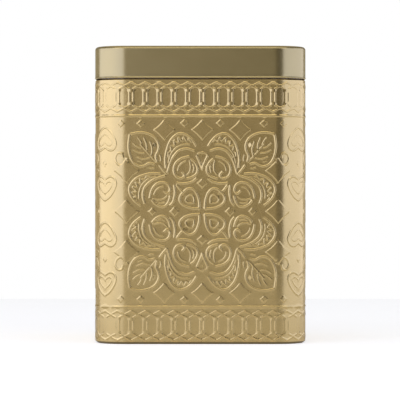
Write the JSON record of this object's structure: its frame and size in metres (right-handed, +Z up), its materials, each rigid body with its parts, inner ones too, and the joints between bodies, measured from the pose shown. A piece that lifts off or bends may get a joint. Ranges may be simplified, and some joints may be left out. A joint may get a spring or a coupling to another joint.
{
  "type": "coffee tin",
  "caption": "Square embossed storage tin for ground coffee, with a flush slip-over lid and a sealed plug lid with a knob inside.",
  "frame": {"origin": "centre of the foot, on the surface that the tin stands on", "axes": "+Z up through the lid, -Y out of the front face, +X to the right seen from the front; the lock seam is at the back, on +Y"},
  "size_m": [0.1002, 0.1002, 0.14],
  "materials": {
    "gold_lacquer": "satin gold lacquer over tinplate",
    "plain_tinplate": "bright rolled tinplate with a clear food lacquer",
    "lining_compound": "dull dark can-seam compound",
    "silicone": "matte off-white silicone",
    "knob_brass": "turned and polished brass",
    "plated_steel": "bright zinc plate"
  },
  "bodies": {
    "tin": {"body_wall": "gold_lacquer", "base_panel": "plain_tinplate", "seam_compound": "lining_compound", "neck_collar": "plain_tinplate"},
    "plug_lid": {"inner_lid": "plain_tinplate", "seal_ring": "silicone", "lid_knob": "knob_brass", "knob_washer": "plated_steel", "knob_screw": "plated_steel"},
    "slip_lid": {"outer_lid": "gold_lacquer"}
  },
  "joints": [
    {"name": "plug_lid_lift", "type": "slide", "parent": "tin", "child": "plug_lid", "axis": [0, 0, 1], "range_m": [0, 0.045]},
    {"name": "slip_lid_lift", "type": "slide", "parent": "plug_lid", "child": "slip_lid", "axis": [0, 0, 1], "range_m": [0, 0.05]}
  ]
}
